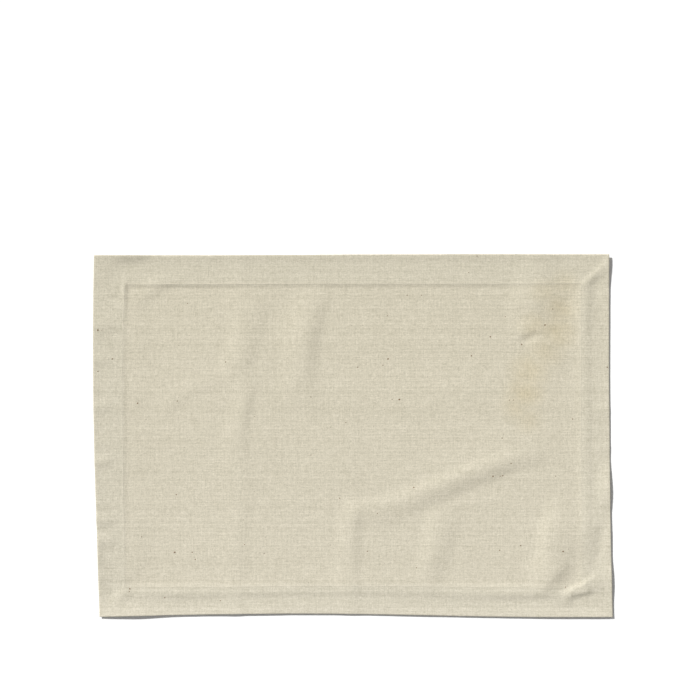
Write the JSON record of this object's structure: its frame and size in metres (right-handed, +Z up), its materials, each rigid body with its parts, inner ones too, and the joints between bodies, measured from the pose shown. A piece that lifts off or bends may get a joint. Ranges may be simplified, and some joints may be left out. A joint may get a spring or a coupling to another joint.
{
  "type": "fabric placemat",
  "caption": "Rectangular plain-weave cotton placemat with a wide turned hem and mitred corners, lying flat with soft creases.",
  "frame": {"origin": "under the middle of the mat's bounding box, on the plane it rests on", "axes": "+X along the long side, +Y towards the back long side, +Z up out of the cloth's face"},
  "size_m": [0.5054, 0.353, 0.0046],
  "materials": {
    "unbleached_cotton": "matt plain weave with slubs and fine seed flecks"
  },
  "bodies": {
    "root": {"placemat": "unbleached_cotton"}
  },
  "joints": []
}
